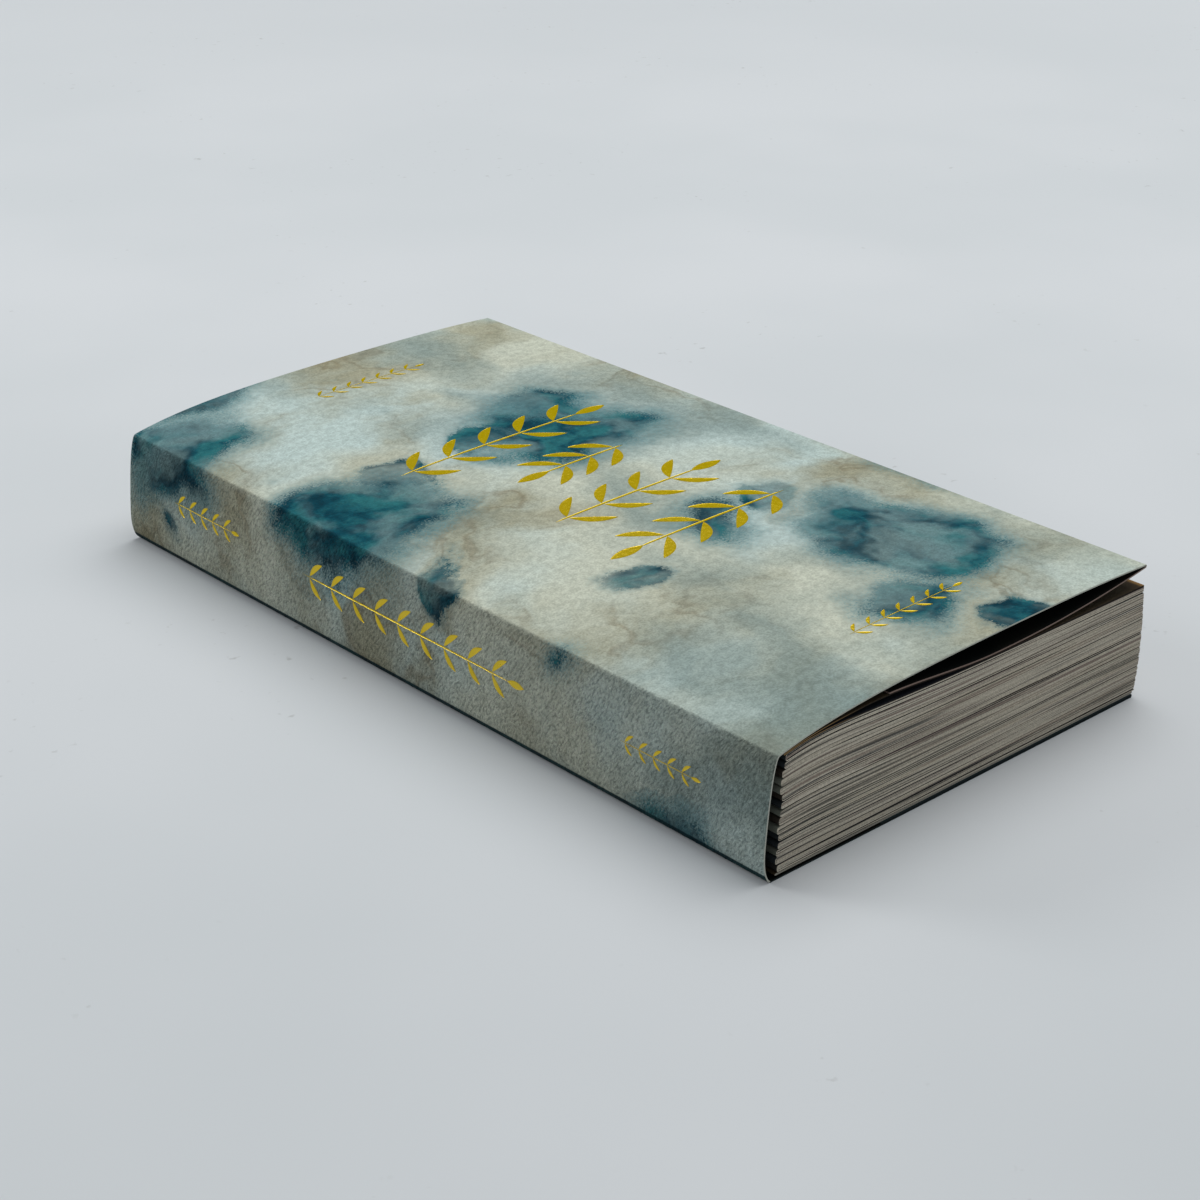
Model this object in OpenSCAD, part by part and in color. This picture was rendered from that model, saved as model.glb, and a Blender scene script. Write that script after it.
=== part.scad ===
// Thick softcover booklet of sewn sections, lying shut on its back cover.
// One card cover wraps round the block and folds in at both fore-edges as flaps.
// +X runs from the spine to the fore-edge, +Y from tail to head, +Z up.
// The origin is at the centre of the footprint, on the surface the booklet lies on.
// Profiles are drawn in X and Z, with x = 0 at the lowest section fold.

/* [Page block] */
// Height of the pages, tail to head
page_h = 210; // [120:1:320]
// Width of the pages, section folds to fore-edge
page_w = 109.5; // [90:0.1:220]
// How far the trimmed fore-edge bows out past the top leaf
fore_bow = 1.2; // [0:0.1:3]
// Share of that bow's half wave that is cut off under the block
fore_bow_cut = 0.15; // [0:0.05:0.5]
// Number of folded sections
section_count = 15; // [4:1:24]
// Thickness of one pressed section
section_t = 1.62; // [0.8:0.02:3]
// Depth of the rounded fold at the back of a section
fold_d = 0.7; // [0.3:0.1:1.2]
// How far the top fold stands in from the bottom one
fold_lean = 1; // [0:0.1:3]
// Height that the sewing adds to the block near its folds
swell = 1.3; // [0:0.1:2.5]
// Distance from the folds to the top of that swell
swell_x = 14; // [8:1:24]
// How the swell comes on: 1 is steepest at the folds, more is gentler
swell_power = 1.3; // [1:0.1:2]
// Width of the slit between two sections at the trimmed edges
slit_w = 0.12; // [0.06:0.02:0.3]
// Depth of that slit
slit_d = 0.6; // [0.2:0.1:2]

/* [Sewing] */
// Number of stitch rows up the spine
stitch_rows = 8; // [3:1:12]
// Width of the thread
thread_w = 0.5; // [0.2:0.1:1]
// Distance of the outer rows from the head and the tail
stitch_margin = 12; // [5:1:25]
// Space between the thread and the folds
thread_gap = 0.05; // [0.02:0.01:0.2]

/* [Endpapers] */
// Thickness of the endpaper
endpaper_t = 0.18; // [0.1:0.02:0.4]
// Space between two leaves that lie on each other
leaf_gap = 0.05; // [0.02:0.01:0.2]
// Share of the way from the block to the cover at which the top endpaper stands near its fold
endpaper_lift = 0.5; // [0.1:0.05:0.8]
// Distance from the folds at which the top endpaper starts to fall
endpaper_fall_x = 22; // [10:1:40]
// Distance over which it falls on to the block
endpaper_fall_run = 38; // [20:1:45]

/* [Cover] */
// Thickness of the card
card_t = 0.33; // [0.2:0.01:0.6]
// Distance of the front crease in from the lowest fold, negative outside it
crease_x = -0.4; // [-1:0.1:2]
// Spare height under the card where the front cover clears the endpaper's fold
crease_spare = 0.03; // [0:0.01:2]
// Rise of the front cover from its crease to its crown
crown = 5.45; // [2:0.05:10]
// Distance over which the front cover does most of that rise
crown_run = 22.4; // [10:0.1:40]
// Drop of the front cover from its crown to its fore-edge
fore_drop = 0.8; // [0:0.1:2]
// How sharply that drop comes on: a higher power keeps it nearer the fore-edge
fore_drop_power = 8; // [2:1:12]
// How far the spine bows out past the lowest fold
spine_out = 3.1; // [2.2:0.1:5]
// How far the soft bend at the front crease reaches outwards and down
crease_bend_out = 1.6; // [0.2:0.1:2.5]
crease_bend_down = 2.2; // [0.5:0.1:6]
// Distance over which the spine comes upright above its lower fold
spine_upright = 5; // [1:0.5:10]
// Width and height of the round fold from the spine to the back cover
spine_fold_w = 2.3; // [1.5:0.1:3]
spine_fold_h = 6.2; // [2:0.1:8]
// Width of the flaps that are folded in at the fore-edge
flap_w = 80; // [50:1:85]
// Inner radius of the fold at the fore-edge
flap_bend_r = 0.07; // [0.03:0.01:0.6]
// Distance from the fore-edge at which the front flap leaves the endpaper
flap_rise_w = 52; // [20:1:70]
// How the flap's rise comes on: 1 is straight, more is curved
flap_rise_power = 1.5; // [1:0.1:3]
// Gap in the card at each cover hinge
hinge_gap = 0.1; // [0.05:0.01:0.2]
// Space between a cover and the endpaper that lies against it
cover_gap = 0.15; // [0.1:0.01:0.3]

/* [Hidden] */
page_color = [0.62, 0.58, 0.54];
thread_color = [0.86, 0.84, 0.78];
endpaper_color = [0.44, 0.33, 0.22];
card_color = [0.68, 0.75, 0.73];
// Segments of a long curve, of a small fold and of a section's fold
curve_n = 28;
fold_n = 8;
scallop_n = 6;
// How much closer together the points of a long curve lie near the spine
near_power = 1.5;
// Outer radius of the fold at the fore-edge
flap_fold_r = card_t + flap_bend_r;
// Heights of the pieces that lie under the block
back_leaf_z = 2 * flap_fold_r + cover_gap;
block_z = back_leaf_z + 2 * endpaper_t + 2 * leaf_gap;
block_t = section_count * section_t;
// Place of the front endpaper's fold, and the height of the front crease that clears it
endpaper_fold_x = fold_lean + fold_d / 2;
crease_z = leaves_z(endpaper_fold_x) + cover_gap + card_t + crease_spare - cover_rise(endpaper_fold_x);
// Lines about which the two covers turn, on the outer face of the card
front_hinge = [crease_x, crease_z];
back_hinge = [spine_fold_w - spine_out, 0];
footprint_x = (max([for (i = [0:section_count]) edge_x(i / section_count)]) - spine_out) / 2;

// Helpers
function unit(v) = v / norm(v);
function left_of(v) = [-v.y, v.x];
function mix(a, b, s) = a + (b - a) * s;
function smooth(u) = u <= 0 ? 0 : u >= 1 ? 1 : u * u * (3 - 2 * u);
// Places from a to b that lie closer together near a
function places(a, b) = [for (i = [0:curve_n]) mix(a, b, pow(i / curve_n, near_power))];
function backwards(list) = [for (i = [len(list) - 1:-1:0]) list[i]];
function arc(centre, r, from, to, n) =
    [for (i = [0:n]) centre + r * [cos(mix(from, to, i / n)), sin(mix(from, to, i / n))]];
function bezier(a, b, c, d, t) =
    pow(1 - t, 3) * a + 3 * pow(1 - t, 2) * t * b + 3 * (1 - t) * t * t * c + pow(t, 3) * d;
// Direction of a path at its point i
function heading(path, i) = unit(path[min(i + 1, len(path) - 1)] - path[max(i - 1, 0)]);
// Outline of a sheet with one face on the path and the other t to its left, -t to its right
function sheet(path, t, mitre = 0) = concat(path, backwards([
    for (i = [0:len(path) - 1])
        path[i] + t * left_of(heading(path, i)) + (i == 0 ? mitre : 0) * heading(path, i)
]));
// Sets a profile upright and runs it along the spine
module upright(length) {
    translate([-footprint_x, 0, 0])
        rotate([90, 0, 0])
            linear_extrude(height = length, center = true)
                children();
}

// Page block
// f is the share of the block's height, from 0 at its bottom to 1 at its top
function fold_x(f) = fold_lean * f * f;
function swell_z(d) = d <= 0 ? 0 : swell * pow(d / swell_x * exp(1 - d / swell_x), swell_power);
function level(f, x) = block_z + f * (block_t + swell_z(x - fold_x(f)));
function fold_mid(i) = fold_x((i + 0.5) / section_count);
function edge_x(f) = page_w + fore_bow * sin(180 * mix(fore_bow_cut, 1, f));

// Outline of section i, with a round fold at its back and room for the slits over and under it
function section_outline(i) =
    let (
        low = i / section_count,
        high = (i + 1) / section_count,
        start = fold_mid(i) + fold_d,
        low_slit = i == 0 ? 0 : slit_w / 2,
        high_slit = i == section_count - 1 ? 0 : slit_w / 2,
        under = [for (x = places(start, edge_x(low))) [x, level(low, x) + low_slit]],
        over = [for (x = places(start, edge_x(high))) [x, level(high, x) - high_slit]],
        mid = (under[0].y + over[0].y) / 2,
        half = (over[0].y - under[0].y) / 2,
        fold = [
            for (k = [1:scallop_n - 1])
                let (a = 90 + 180 * k / scallop_n)
                    [start + fold_d * cos(a), mid + half * sin(a)]
        ]
    )
    concat(under, backwards(over), fold);

// Outline of the leaves' inner stretch, which ends where the slits do
function core_outline() =
    let (
        inset = fold_d + slit_d,
        under = places(inset, edge_x(0) - slit_d),
        over = places(fold_lean + inset, edge_x(1) - slit_d),
        edge = [
            for (i = [1:section_count - 1])
                let (f = i / section_count, x = edge_x(f) - slit_d) [x, level(f, x)]
        ]
    )
    concat(
        [for (x = under) [x, level(0, x) + section_t / 2]],
        edge,
        backwards([for (x = over) [x, level(1, x) - section_t / 2]])
    );

module text_block() {
    color(page_color) {
        upright(page_h - 2 * slit_d) polygon(core_outline());
        for (i = [0:section_count - 1]) upright(page_h) polygon(section_outline(i));
    }
}

// Sewing
// One row of link stitches: thread from fold to fold, thicker where it enters a section
function stitch_outline() =
    let (
        tips = [
            for (i = [0:section_count - 1])
                [fold_mid(i) - thread_gap, level((i + 0.5) / section_count, fold_mid(i))]
        ],
        knot = [thread_w, 0],
        loop = [thread_w / 2, 0]
    )
    concat(tips, backwards([
        for (i = [0:2 * section_count - 2])
            i % 2 == 0 ? tips[i / 2] - knot : (tips[(i - 1) / 2] + tips[(i + 1) / 2]) / 2 - loop
    ]));

module sewing_thread() {
    row_step = (page_h - 2 * stitch_margin) / (stitch_rows - 1);
    color(thread_color)
        for (i = [0:stitch_rows - 1])
            translate([0, i * row_step - page_h / 2 + stitch_margin, 0])
                upright(thread_w) polygon(stitch_outline());
}

// Cover and endpaper surfaces
// Height of the front cover's outer face over its crease
function cover_rise(x) =
    let (d = x - crease_x)
    crown * (1 - exp(-d / crown_run)) - fore_drop * pow(d / (page_w - crease_x), fore_drop_power);
function cover_z(x) = crease_z + cover_rise(x);
// Top face of the lower leaf of the front endpaper, and of both leaves lying on the block
function lower_leaf_z(x) = level(1, x) + leaf_gap + endpaper_t;
function leaves_z(x) = lower_leaf_z(x) + leaf_gap + endpaper_t;
// Top face of its upper leaf, which stands up near the fold
function upper_leaf_z(x) =
    let (
        low = leaves_z(x),
        high = cover_z(x) - card_t - cover_gap,
        fallen = smooth((x - endpaper_fall_x) / endpaper_fall_run)
    )
    mix(low, high, endpaper_lift * (1 - fallen));

// Endpapers, each one sheet folded once at the spine
function endpaper_outline(fold_at, under, over) =
    let (
        r = (over[0].y - under[0].y) / 2,
        fold = arc([fold_at, under[0].y + r], r, 270, 90, fold_n)
    )
    sheet(concat(backwards(under), [for (i = [1:fold_n - 1]) fold[i]], over), -endpaper_t);

module front_endpaper() {
    across = places(endpaper_fold_x, page_w);
    under = [for (x = across) [x, lower_leaf_z(x) - endpaper_t]];
    over = [for (x = across) [x, upper_leaf_z(x)]];
    color(endpaper_color) upright(page_h) polygon(endpaper_outline(endpaper_fold_x, under, over));
}

module back_endpaper() {
    fold_at = fold_d / 2;
    under = [[fold_at, back_leaf_z], [page_w, back_leaf_z]];
    over = [for (p = under) p + [0, 2 * endpaper_t + leaf_gap]];
    color(endpaper_color) upright(page_h) polygon(endpaper_outline(fold_at, under, over));
}

// Cover
// Outer face of the spine panel, from the front crease down and round under the block
function spine_path() =
    let (
        foot = [-spine_out, spine_fold_h],
        bend = front_hinge - [crease_bend_out, crease_bend_down],
        n = curve_n / 2
    )
    concat(
        [for (i = [0:n]) bezier(front_hinge, bend, foot + [0, spine_upright], foot, i / n)],
        [
            for (i = [1:n])
                let (a = 180 + 90 * i / n)
                    back_hinge + [spine_fold_w * cos(a), spine_fold_h * (1 + sin(a))]
        ]
    );
// Outer face of the front panel, from its crease to where the fore-edge fold begins
fold_from_x = page_w - flap_fold_r;
function front_panel() = [for (x = places(crease_x, fold_from_x)) [x, cover_z(x)]];
// Outer face of the front flap, from the fold to its free end: it lies on the endpaper, then rises
flap_start_z = cover_z(fold_from_x) - 2 * flap_fold_r;
flap_rise = flap_start_z - upper_leaf_z(fold_from_x) - cover_gap;
function flap_z(x) =
    let (u = max(0, (x - page_w + flap_rise_w) / (flap_rise_w - flap_fold_r)))
    upper_leaf_z(x) + cover_gap + flap_rise * pow(u, flap_rise_power);
function front_flap() =
    [for (x = places(fold_from_x, page_w - flap_w)) if (x < fold_from_x) [x, flap_z(x)]];

// Slant that makes the card's two edges at the front crease meet on one line
crease_angle = acos(heading(spine_path(), 0) * heading(front_panel(), 0));
crease_mitre = card_t / tan(crease_angle / 2);

module spine() {
    color(card_color) upright(page_h) polygon(sheet(spine_path(), card_t, crease_mitre));
}

module front_cover() {
    panel = front_panel();
    gap = hinge_gap * heading(panel, 0);
    beyond = crease_x + 2 * hinge_gap;
    turn = arc([fold_from_x, cover_z(fold_from_x) - flap_fold_r], flap_fold_r, 90, -90, fold_n);
    path = concat([panel[0] + gap], [for (p = panel) if (p.x > beyond) p],
        [for (i = [1:fold_n]) turn[i]], front_flap());
    color(card_color) upright(page_h) polygon(sheet(path, -card_t, crease_mitre));
}

module back_cover() {
    turn = arc([fold_from_x, flap_fold_r], flap_fold_r, -90, 90, fold_n);
    path = concat([back_hinge + [hinge_gap, 0]], turn, [[page_w - flap_w, 2 * flap_fold_r]]);
    color(card_color) upright(page_h) polygon(sheet(path, card_t));
}

text_block();
sewing_thread();
front_endpaper();
back_endpaper();
spine();
front_cover();
back_cover();
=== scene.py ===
"""Looks of the softcover booklet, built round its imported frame.

The profile functions work in millimetres, with x = 0 at the lowest section fold and z = 0 on the
surface that the booklet lies on, as the part's source does. Meshes are in metres, in the frame.
"""

import math

import bpy
import numpy as np
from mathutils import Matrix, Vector

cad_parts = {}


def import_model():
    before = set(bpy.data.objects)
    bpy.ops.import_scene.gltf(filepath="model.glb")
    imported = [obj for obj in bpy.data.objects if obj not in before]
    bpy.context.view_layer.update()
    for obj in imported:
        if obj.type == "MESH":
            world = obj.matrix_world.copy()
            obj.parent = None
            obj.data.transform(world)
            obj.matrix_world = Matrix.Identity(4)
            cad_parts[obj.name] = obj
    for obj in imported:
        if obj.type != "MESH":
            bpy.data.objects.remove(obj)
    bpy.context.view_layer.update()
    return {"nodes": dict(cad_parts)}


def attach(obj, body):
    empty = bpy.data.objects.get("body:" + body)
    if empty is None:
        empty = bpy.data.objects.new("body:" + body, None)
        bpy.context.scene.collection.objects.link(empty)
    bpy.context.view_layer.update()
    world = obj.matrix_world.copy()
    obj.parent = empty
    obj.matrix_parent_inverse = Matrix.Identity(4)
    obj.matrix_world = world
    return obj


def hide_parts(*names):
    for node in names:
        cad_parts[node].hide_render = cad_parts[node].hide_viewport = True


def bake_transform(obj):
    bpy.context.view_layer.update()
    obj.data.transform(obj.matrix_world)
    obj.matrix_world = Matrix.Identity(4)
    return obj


MM = 0.001

# Page block
PAGE_H = 210.0
PAGE_W = 109.5
FORE_BOW = 1.2
FORE_BOW_CUT = 0.15
SECTIONS = 15
SECTION_T = 1.62
FOLD_D = 0.7
FOLD_LEAN = 1.0
SWELL = 1.3
SWELL_X = 14.0
SWELL_POWER = 1.3
# Sheets in a section, and the sections whose outermost sheet has a dark back: partly print, partly
# painted shade of the hollow at the spine
SHEETS = 2
DARK_PRINT_AND_SHADE_BACKS = (0, 1, 3, 4, 8, 13, 14)
# How far a section's faces are drawn together at its fold, and over what run that fades
NIP = 0.07
NIP_RUN = 1.6
# Random play: where a section's fold starts, its sheets' shares, and how evenly they are trimmed
FOLD_PLAY = (-0.1, 0.7)
SHEET_PLAY = (0.8, 1.2)
EDGE_PLAY = (-0.1, -0.03)
TRIM_PLAY = (0.02, 0.16)
# Slow waves along the leaves: their height between sections, and their spans
DRIFT = 0.09
WAVE_SPANS = ((16, 5), (45, 12))
# Gaps between leaves: their least width, how far a narrow and a wide one open, the share of wide ones
LEAST_GAP = (0.002, 0.008)
NARROW_GAP = (0, 0.02)
WIDE_GAP = (0.14, 0.24)
WIDE_BREAKS = 0.5
WIDE_GAPS = 0.45
# The gap under the block's top leaf, in the form that gap_rule gives
TOP_GAP = (0.01, 0.24, (1.2, (22.0, 60.0), (0.2, 1.5)))
# Share by which the two halves of a section's innermost sheet part
CORE_PART = 0.006
# Endpapers
ENDPAPER_T = 0.18
LEAF_GAP = 0.05
ENDPAPER_LIFT = 0.5
ENDPAPER_FALL_X = 22.0
ENDPAPER_FALL_RUN = 38.0
ENDPAPER_INSET = 0.05
# Cover
CARD_T = 0.33
CREASE_X = -0.4
CREASE_SPARE = 0.03
CREASE_R = 0.9
CROWN = 5.45
CROWN_RUN = 22.4
FORE_DROP = 0.8
FORE_DROP_POWER = 8
SPINE_OUT = 3.1
CREASE_BEND = (1.6, 2.2)
SPINE_UPRIGHT = 5.0
SPINE_FOLD_W = 2.3
SPINE_FOLD_H = 6.2
FLAP_W = 80.0
FLAP_FOLD_R = CARD_T + 0.07
FLAP_RISE_W = 52.0
COVER_GAP = 0.15
# The flap rises a little later here than in the solid
FLAP_RISE_POWER = 2.1
# Heights and places that follow from these
BACK_LEAF_Z = 2 * FLAP_FOLD_R + COVER_GAP
BLOCK_Z = BACK_LEAF_Z + 2 * ENDPAPER_T + 2 * LEAF_GAP
BLOCK_T = SECTIONS * SECTION_T
BACK_HINGE_X = SPINE_FOLD_W - SPINE_OUT
ENDPAPER_FOLD_X = FOLD_LEAN + FOLD_D / 2
# Width beside the back hinge over which the card's points lie close together
BEND_W = 0.6
# Unevenness of the card: the panel's least dip and its waves, the spine's dents and how far they go
PANEL_DIP = 0.1
PANEL_WAVE = 0.16
SPINE_DENT = 0.16
SPINE_TO_X = 1.5

# Making of the meshes: how places crowd, points of a small round, and the corner's rounding
CROWDING = 1.5
ROUND_POINTS = 13
HEADING_STEP = 5
CORNER_CLEAR = 1.4
SHARP_ANGLE = 35

# Foil: how far its faces lie from the card's, and its strokes' rows and least share of width
FOIL_LIFT = 0.03
STROKE_ROWS = 17
STROKE_TIP = 0.04
# Start and end of each row of foil on the front, the first row's place and the rows' distance
FRONT_ROWS = ((26, 88), (42, 74), (34, 84), (30, 82))
FRONT_ROW_Y = 36
FRONT_ROW_STEP = 21.6

# Kinds of blot in the print: spacing, shift, share left out, strength of the halo
BLOTS = (
    (64, (150, 110, 0), 0.2, 0.75),
    (64, (200, 20, 0), 0.45, 0.75),
    (24, (31, 16, 0), 0.86, 0.4),
)
CLOUD_SHIFT = (15, 60, 50)
# Places along the sheet from the front crease: the dark print, which at the spine's foot is also painted
# shade, where the cut edge turns dark as painted shade at the back, and where it turns to a pinkish tint
# darkened as painted shade at the flap
BACK_PRINT_AND_SHADE_S = -24.7
BACK_EDGE_SHADE_S = -26.6
FLAP_EDGE_SHADE_S = 108
# Specular level of card and of paper
CARD_SHINE = 0.05
PAPER_SHINE = 0.08

# The floor's size in metres, and how far it lies under the booklet in millimetres
FLOOR_SIZE = 8
FLOOR_GAP = 0.05
LAMP_COLOR = (1.0, 0.99, 0.97)
WORLD_COLOR = (0.92, 0.96, 0.98, 1)
# World's strength as light, and as the camera sees it
WORLD_LIGHT = 0.36
WORLD_SEEN = 0.62

# Camera: focal length in millimetres, place in metres, turn as a quaternion
CAMERA_LENS = 72.263
CAMERA_PLACE = (-0.33500, -0.36019, 0.23556)
CAMERA_TURN = (0.787855, 0.497144, -0.197970, -0.304861)


# Profiles
def fold_x(f):
    return FOLD_LEAN * f * f


def edge_x(f):
    """Place of the trimmed fore-edge at the share f of the block's thickness."""
    return PAGE_W + FORE_BOW * np.sin(np.pi * (FORE_BOW_CUT + (1 - FORE_BOW_CUT) * f))


def swell_z(d):
    u = np.maximum(d, 0) / SWELL_X
    return SWELL * (u * np.exp(1 - u)) ** SWELL_POWER


def level(f, x):
    """Height of the page block at the share f of its thickness."""
    return BLOCK_Z + f * (BLOCK_T + swell_z(x - fold_x(f)))


def lower_leaf_z(x):
    return level(1, x) + LEAF_GAP + ENDPAPER_T


def leaves_z(x):
    return lower_leaf_z(x) + LEAF_GAP + ENDPAPER_T


def cover_rise(x):
    d = x - CREASE_X
    drop = FORE_DROP * (d / (PAGE_W - CREASE_X)) ** FORE_DROP_POWER
    return CROWN * (1 - np.exp(-d / CROWN_RUN)) - drop


CLEAR_Z = leaves_z(ENDPAPER_FOLD_X) + COVER_GAP + CARD_T + CREASE_SPARE
CREASE_Z = float(CLEAR_Z - cover_rise(ENDPAPER_FOLD_X))
FOOTPRINT_X = float(np.max(edge_x(np.arange(SECTIONS + 1) / SECTIONS)) - SPINE_OUT) / 2


def cover_z(x):
    """Outer face of the front panel."""
    return CREASE_Z + cover_rise(x)


def smooth(u):
    u = np.clip(u, 0, 1)
    return u * u * (3 - 2 * u)


def upper_leaf_z(x):
    low = leaves_z(x)
    high = cover_z(x) - CARD_T - COVER_GAP
    lift = ENDPAPER_LIFT * (1 - smooth((x - ENDPAPER_FALL_X) / ENDPAPER_FALL_RUN))
    return low + (high - low) * lift


FOLD_FROM_X = PAGE_W - FLAP_FOLD_R
FLAP_RISE = cover_z(FOLD_FROM_X) - 2 * FLAP_FOLD_R - upper_leaf_z(FOLD_FROM_X) - COVER_GAP


def flap_z(x):
    """Lower face of the front flap, which lies on the endpaper and then rises to the fold."""
    u = np.maximum(0, (x - PAGE_W + FLAP_RISE_W) / (FLAP_RISE_W - FLAP_FOLD_R))
    return upper_leaf_z(x) + COVER_GAP + FLAP_RISE * u**FLAP_RISE_POWER


def places(a, b, count):
    """Places from a to b that lie closer together near a."""
    return a + (b - a) * np.linspace(0, 1, count) ** CROWDING


def arc(cx, cz, r, start, end, count):
    angles = np.radians(np.linspace(start, end, count))
    return np.stack([cx + r * np.cos(angles), cz + r * np.sin(angles)], 1)


def bezier(a, b, c, d, t):
    t = t[:, None]
    a, b, c, d = (np.array(p, float) for p in (a, b, c, d))
    return (1 - t) ** 3 * a + 3 * (1 - t) ** 2 * t * b + 3 * (1 - t) * t * t * c + t**3 * d


def headings(path):
    steps = np.gradient(path, axis=0)
    return steps / np.linalg.norm(steps, axis=1)[:, None]


def lengths(path):
    """Distance of each point along the path."""
    steps = np.linalg.norm(np.diff(path, axis=0), axis=1)
    return np.concatenate([[0], np.cumsum(steps)])


def unit(vector):
    return vector / np.linalg.norm(vector)


def spine_round(count):
    """The lower round of the card, from the upright spine down to the floor."""
    angles = np.radians(np.linspace(180, 270, count))
    x = BACK_HINGE_X + SPINE_FOLD_W * np.cos(angles)
    return np.stack([x, SPINE_FOLD_H * (1 + np.sin(angles))], 1)


def spine_path():
    """Outer face of the spine panel, from under the block up to the front crease."""
    hinge = np.array([CREASE_X, CREASE_Z])
    foot = np.array([-SPINE_OUT, SPINE_FOLD_H])
    shares = np.linspace(0, 1, num=61)
    down = bezier(hinge, hinge - CREASE_BEND, foot + [0, SPINE_UPRIGHT], foot, shares)
    return np.concatenate([down, spine_round(count=25)[1:]])[::-1]


def round_corner(before, after, r):
    """Joins two paths that meet at a corner by an arc of radius r."""
    corner = after[0]
    come = unit(corner - before[-1 - HEADING_STEP])
    go = unit(after[HEADING_STEP] - corner)
    turn = math.acos(float(np.clip(come @ go, -1, 1)))
    reach = r * math.tan(turn / 2)
    inward = np.array([come[1], -come[0]])
    centre = corner - come * reach + inward * r
    start = math.degrees(math.atan2(-inward[1], -inward[0]))
    bend = arc(centre[0], centre[1], r, start, start - math.degrees(turn), ROUND_POINTS)
    clear = reach * CORNER_CLEAR
    kept_before = before[np.linalg.norm(before - corner, axis=1) > clear]
    kept_after = after[np.linalg.norm(after - corner, axis=1) > clear]
    return np.concatenate([kept_before, bend, kept_after])


def front_card_path():
    """Outer face of the card from the seam up the spine, over the front and round to the flap's end."""
    xs = np.concatenate([[CREASE_X], places(CREASE_X + 0.25, FOLD_FROM_X, count=110)])
    panel = np.stack([xs, cover_z(xs)], 1)
    top = round_corner(spine_path(), panel, CREASE_R)
    fold_z = cover_z(FOLD_FROM_X) - FLAP_FOLD_R
    fold = arc(FOLD_FROM_X, fold_z, FLAP_FOLD_R, 90, -90, ROUND_POINTS)
    back = np.linspace(FOLD_FROM_X, PAGE_W - FLAP_W, num=90)[1:]
    flap = np.stack([back, flap_z(back)], 1)
    return np.concatenate([top, fold[1:], flap])


def back_card_path():
    """Outer face of the card from the back hinge under the block and round to the flap's end."""
    bend = BACK_HINGE_X + np.linspace(0, BEND_W, num=9)
    xs = np.concatenate([bend, np.linspace(2, FOLD_FROM_X, num=60)])
    flat = np.stack([xs, np.zeros_like(xs)], 1)
    fold = arc(FOLD_FROM_X, FLAP_FOLD_R, FLAP_FOLD_R, -90, 90, ROUND_POINTS)
    back = np.linspace(FOLD_FROM_X, PAGE_W - FLAP_W, num=50)[1:]
    flap = np.stack([back, np.full_like(back, 2 * FLAP_FOLD_R)], 1)
    return np.concatenate([flat, fold[1:], flap])


# Meshes
def to_frame(points):
    """Points in millimetres as points of the frame, in metres."""
    return (points - (FOOTPRINT_X, 0, 0)) * MM


def make_object(name, points, faces, slots, materials, attributes):
    """A mesh object from points in millimetres, quads, and each quad's material slot."""
    mesh = bpy.data.meshes.new(name)
    mesh.from_pydata(to_frame(points).tolist(), [], faces.tolist())
    for material in materials:
        mesh.materials.append(material)
    mesh.polygons.foreach_set("material_index", np.asarray(slots, np.int32))
    for key, values in attributes.items():
        layer = mesh.attributes.new(key, "FLOAT_VECTOR", "POINT")
        layer.data.foreach_set("vector", np.asarray(values, np.float32).ravel())
    mesh.update()
    mesh.shade_smooth()
    mesh.set_sharp_from_angle(angle=math.radians(SHARP_ANGLE))
    obj = bpy.data.objects.new(name, mesh)
    bpy.context.scene.collection.objects.link(obj)
    return obj


def grid_faces(rows, columns, first=0, flip=False):
    i, j = np.meshgrid(np.arange(rows - 1), np.arange(columns - 1), indexing="ij")
    a = first + i * columns + j
    quads = np.stack([a, a + 1, a + columns + 1, a + columns], -1).reshape(-1, 4)
    return quads[:, ::-1] if flip else quads


def strip_faces(a, b, flip=False):
    """Quads between two rows of point numbers."""
    quads = np.stack([a[:-1], a[1:], b[1:], b[:-1]], -1)
    return quads[:, ::-1] if flip else quads


def joined(meshes):
    """The points and quads of several meshes as those of one."""
    starts = np.cumsum([0] + [len(mesh[0]) for mesh in meshes])
    faces = [mesh[1] + start for mesh, start in zip(meshes, starts)]
    return np.concatenate([mesh[0] for mesh in meshes]), np.concatenate(faces)


def slab(outer, inner, ys, trim=(0.0, 0.0)):
    """Points, quads and face groups of a sheet between two paths, run along Y.

    Groups: 0 outer face, 1 inner face, 2 the cut edges at tail and head, 3 the edges at the path's ends.
    trim is how far the sheet stops short at the tail and at the head.
    """
    n, m = len(outer), len(ys)
    along = np.array(ys, float)
    along[0] += trim[0]
    along[-1] -= trim[1]
    points = []
    for path in (outer, inner):
        x, z = np.repeat(path, m, axis=0).T
        points.append(np.stack([x, np.tile(along, n), z], 1))
    index = np.arange(n * m).reshape(n, m)
    other = index + n * m
    parts = [
        (grid_faces(n, m, 0, True), 0),
        (grid_faces(n, m, n * m, False), 1),
        (strip_faces(index[:, 0], other[:, 0], True), 2),
        (strip_faces(index[:, -1], other[:, -1], False), 2),
        (strip_faces(index[0], other[0], False), 3),
        (strip_faces(index[-1], other[-1], True), 3),
    ]
    faces = np.concatenate([part for part, _ in parts])
    groups = np.concatenate([np.full(len(part), group) for part, group in parts])
    return np.concatenate(points), faces, groups


def offset_path(path, t):
    """The path moved t to its right."""
    h = headings(path)
    return path + t * np.stack([h[:, 1], -h[:, 0]], 1)


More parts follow.
